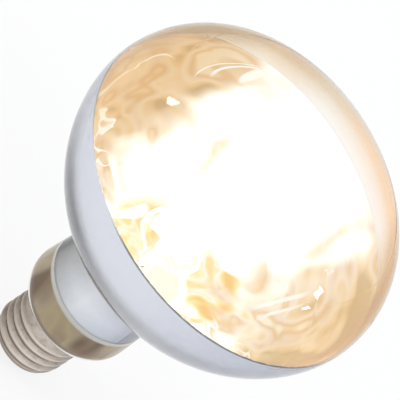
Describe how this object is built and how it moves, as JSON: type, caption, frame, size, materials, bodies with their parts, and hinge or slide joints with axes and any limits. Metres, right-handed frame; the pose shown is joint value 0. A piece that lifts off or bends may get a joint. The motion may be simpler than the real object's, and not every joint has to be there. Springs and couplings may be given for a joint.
{
  "type": "reflector heat bulb",
  "caption": "Incandescent reflector heat bulb with a clear domed front, mirror-coated back and a 27 mm Edison screw cap.",
  "frame": {"origin": "the lowest point of the cap's centre contact, on the lamp's axis", "axes": "+Z along the lamp's axis from the screw cap to the clear front, the way the light goes; the leads lie in the XZ plane"},
  "size_m": [0.115, 0.115, 0.1489],
  "materials": {
    "clear_glass": "clear blown glass",
    "mirror_film": "evaporated aluminium film",
    "stem_glass": "clear lead-free glass",
    "tungsten": "incandescent",
    "molybdenum": "drawn wire",
    "nickel_wire": "drawn wire",
    "copper_wire": "drawn wire",
    "deflector_sheet": "bright sheet",
    "nickel_cap": "nickel-plated sheet",
    "cement": "baked basing cement",
    "vitrite": "black moulded glass",
    "contact_metal": "stamped",
    "solder": "solidified"
  },
  "bodies": {
    "root": {"glass_envelope": "clear_glass", "mirror_coating": "mirror_film", "screw_shell": "nickel_cap", "cap_insulator": "vitrite", "centre_contact": "contact_metal", "centre_solder": "solder", "side_solder": "solder", "basing_cement": "cement", "glass_stem": "stem_glass", "exhaust_tube": "stem_glass", "support_rod": "stem_glass", "heat_deflector": "deflector_sheet", "inner_lead_left": "nickel_wire", "inner_lead_right": "nickel_wire", "seal_wire_left": "copper_wire", "seal_wire_right": "copper_wire", "contact_lead": "copper_wire", "shell_lead": "copper_wire", "cap_fuse": "stem_glass", "filament": "tungsten", "filament_support_1": "molybdenum", "filament_support_2": "molybdenum", "filament_support_3": "molybdenum", "filament_support_4": "molybdenum", "filament_support_5": "molybdenum"}
  },
  "joints": []
}
